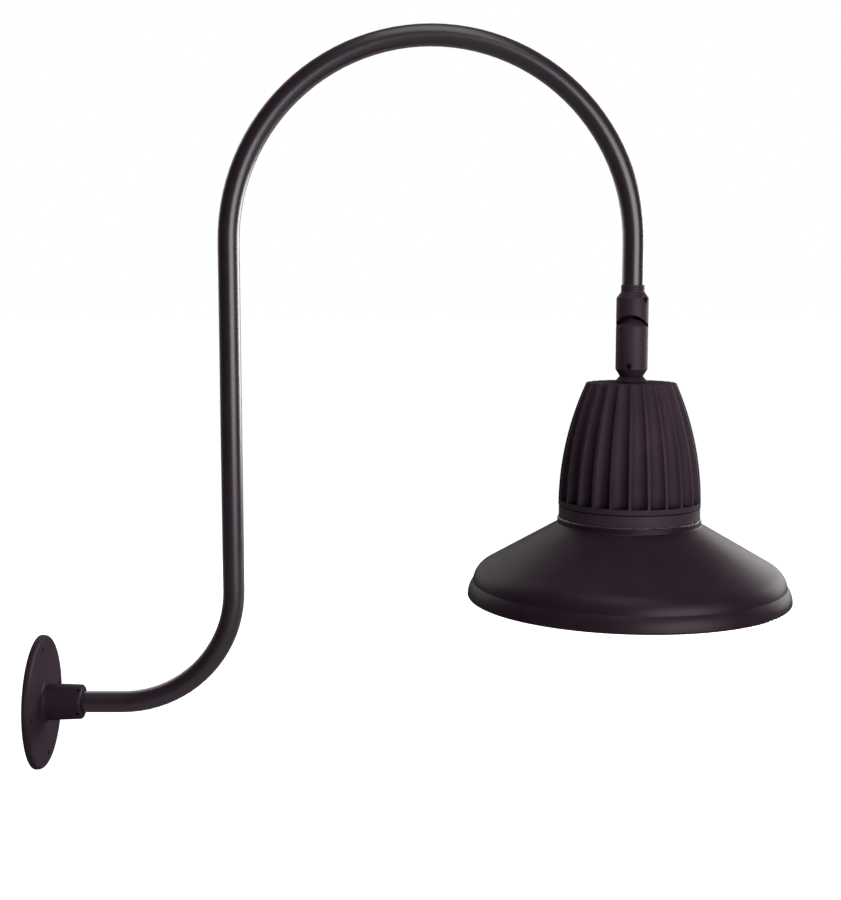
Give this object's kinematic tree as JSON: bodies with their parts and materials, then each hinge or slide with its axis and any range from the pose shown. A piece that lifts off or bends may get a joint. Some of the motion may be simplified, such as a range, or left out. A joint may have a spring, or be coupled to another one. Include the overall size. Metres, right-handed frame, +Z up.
{
  "type": "gooseneck wall light",
  "caption": "Gooseneck wall light: round wall plate, tall bent tube arm, swivelling and tilting knuckle, finned round lamp head and shallow cone shade with a glass lens.",
  "frame": {"origin": "centre of the four wall screws, on the wall face behind the plate", "axes": "+X away from the wall towards the lamp head, +Z up; the arm lies in the plane Y = 0"},
  "size_m": [0.897, 0.382, 0.8747],
  "materials": {
    "bronze_cast": "dark bronze satin powder coat on cast aluminium",
    "bronze_sand": "dark bronze matt powder coat on sand-textured cast aluminium",
    "bronze_spun": "dark bronze satin powder coat on spun aluminium, white inside",
    "bronze_tube": "dark bronze satin powder coat on steel tube",
    "black_screw": "black oxide",
    "zinc": "zinc plated",
    "foam": "closed-cell black foam rubber",
    "silicone": "white silicone",
    "pad": "grey heat-conducting pad",
    "driver_case": "plain aluminium case",
    "board": "white solder mask on an aluminium-core board",
    "chip": "yellow phosphor",
    "frosted_glass": "frosted tempered glass"
  },
  "bodies": {
    "arm": {"wall_gasket": "foam", "wall_plate": "bronze_cast", "hub_set_screws": "black_screw", "arm_tube": "bronze_tube"},
    "swivel": {"upper_knuckle": "bronze_cast", "upper_set_screw": "black_screw"},
    "head": {"lower_knuckle": "bronze_cast", "lower_set_screw": "black_screw", "pivot_screw": "black_screw", "pivot_washer": "zinc", "stem": "zinc", "stem_nut": "zinc", "heat_sink": "bronze_sand", "sink_seal": "foam", "neck_ring": "bronze_cast", "neck_screws": "zinc", "driver": "driver_case", "driver_screws": "zinc", "thermal_pad": "pad", "lamp_board": "board", "lamp_chips": "chip", "board_screws": "zinc", "shade": "bronze_spun", "glass": "frosted_glass", "glass_gasket": "silicone", "glass_ring": "bronze_cast", "ring_screws": "zinc"}
  },
  "joints": [
    {"name": "head_swivel", "type": "hinge", "parent": "arm", "child": "swivel", "pos_m": [0.706, 0, 0.485], "axis": [0, 0, 1], "range_deg": [-170, 170]},
    {"name": "head_tilt", "type": "hinge", "parent": "swivel", "child": "head", "pos_m": [0.706, 0, 0.4428], "axis": [0.2756, 0.9613, 0], "range_deg": [-55, 55]}
  ]
}
